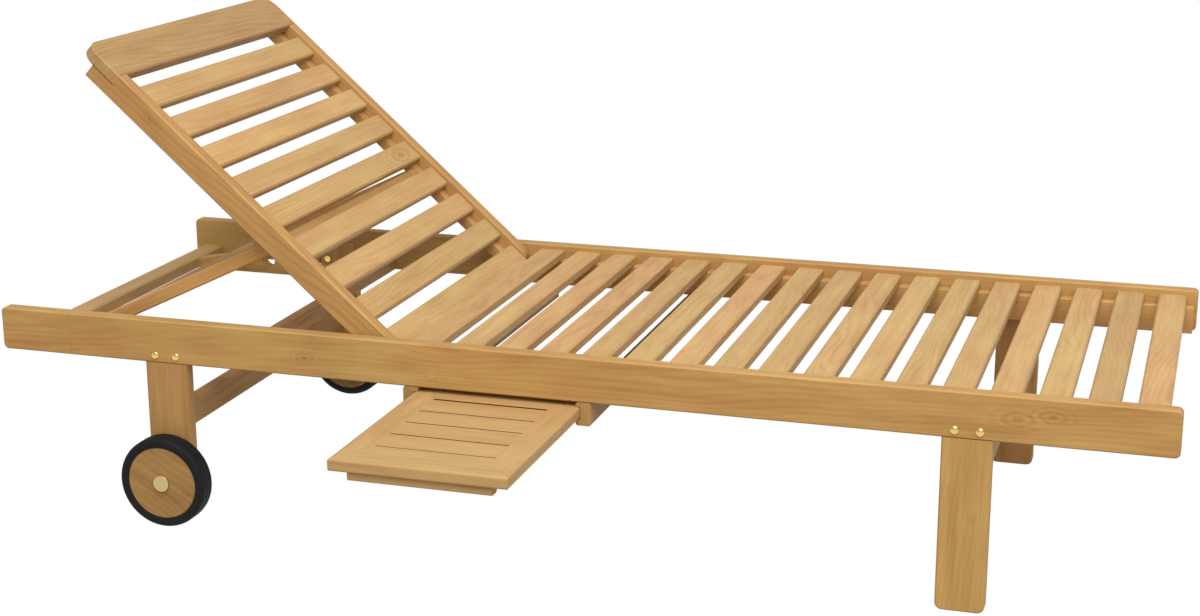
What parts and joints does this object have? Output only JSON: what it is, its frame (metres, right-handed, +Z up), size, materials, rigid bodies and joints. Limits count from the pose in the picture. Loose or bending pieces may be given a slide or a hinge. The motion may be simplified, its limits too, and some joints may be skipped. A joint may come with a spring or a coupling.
{
  "type": "sun lounger",
  "caption": "Slatted wooden sun lounger with a lifting back on a notched prop rack, a side tray that slides out and wheels at the head end.",
  "frame": {"origin": "on the floor under the middle of the whole, with the tray pulled out as at rest", "axes": "+X towards the foot end, +Y across, away from the tray's side, +Z up"},
  "size_m": [2, 1.1304, 0.8248],
  "materials": {
    "rail_teak": "satin",
    "ledger_teak": "satin",
    "seat_teak": "satin",
    "leg_teak": "satin",
    "cross_teak": "satin",
    "plug_teak": "satin",
    "stile_teak": "satin",
    "back_teak": "satin",
    "prop_teak": "satin",
    "tray_frame_teak": "satin",
    "tray_slat_teak": "satin",
    "wheel_teak": "satin",
    "brass": "polished",
    "steel": "satin",
    "tyre": "matte"
  },
  "bodies": {
    "frame": {"rail_right": "rail_teak", "rail_left": "rail_teak", "seat_ledger_right": "ledger_teak", "seat_ledger_left": "ledger_teak", "seat_slat_01": "seat_teak", "seat_slat_02": "seat_teak", "seat_slat_03": "seat_teak", "seat_slat_04": "seat_teak", "seat_slat_05": "seat_teak", "seat_slat_06": "seat_teak", "seat_slat_07": "seat_teak", "seat_slat_08": "seat_teak", "seat_slat_09": "seat_teak", "seat_slat_10": "seat_teak", "seat_slat_11": "seat_teak", "seat_slat_12": "seat_teak", "seat_slat_13": "seat_teak", "seat_slat_14": "seat_teak", "seat_slat_15": "seat_teak", "seat_slat_16": "seat_teak", "seat_slat_17": "seat_teak", "leg_front_right": "leg_teak", "leg_front_left": "leg_teak", "leg_rear_right": "leg_teak", "leg_rear_left": "leg_teak", "leg_stretchers": "cross_teak", "rack_board": "cross_teak", "head_cross_rail": "cross_teak", "rack_right": "ledger_teak", "rack_left": "ledger_teak", "tray_runner_head": "cross_teak", "tray_runner_foot": "cross_teak", "rail_plugs": "plug_teak", "leg_bolts": "brass", "axle_bolts": "brass"},
    "backrest": {"stile_right": "stile_teak", "stile_left": "stile_teak", "back_ledger_right": "stile_teak", "back_ledger_left": "stile_teak", "back_slat_1": "back_teak", "back_slat_2": "back_teak", "back_slat_3": "back_teak", "back_slat_4": "back_teak", "back_slat_5": "back_teak", "back_slat_6": "back_teak", "back_slat_7": "back_teak", "back_slat_8": "back_teak", "back_slat_9": "back_teak", "headboard": "back_teak", "pivot_pins": "steel"},
    "prop": {"prop_pivot_bar": "cross_teak", "prop_leg_right": "prop_teak", "prop_leg_left": "prop_teak", "prop_foot_bar": "cross_teak"},
    "tray": {"tray_frame": "tray_frame_teak", "tray_slats": "tray_slat_teak"},
    "wheel_right": {"wheel_disc_right": "wheel_teak", "tyre_right": "tyre"},
    "wheel_left": {"wheel_disc_left": "wheel_teak", "tyre_left": "tyre"}
  },
  "joints": [
    {"name": "backrest_hinge", "type": "hinge", "parent": "frame", "child": "backrest", "pos_m": [-0.29, 0.1488, 0.3355], "axis": [0, 1, 0], "range_deg": [-41.5, 15.5]},
    {"name": "prop_hinge", "type": "hinge", "parent": "backrest", "child": "prop", "pos_m": [-0.49206, 0.1488, 0.49383], "axis": [0, 1, 0], "range_deg": [-25.09, 67.16]},
    {"name": "tray_slide", "type": "slide", "parent": "frame", "child": "tray", "axis": [0, 1, 0], "range_m": [0, 0.338]},
    {"name": "wheel_right_spin", "type": "hinge", "parent": "frame", "child": "wheel_right", "pos_m": [-0.682, -0.2422, 0.08], "axis": [0, 1, 0], "continuous": true},
    {"name": "wheel_left_spin", "type": "hinge", "parent": "frame", "child": "wheel_left", "pos_m": [-0.682, 0.5398, 0.08], "axis": [0, 1, 0], "continuous": true}
  ],
  "couplings": [
    {"joint": "prop_hinge", "follows": "backrest_hinge", "ratio": -1.6184}
  ]
}
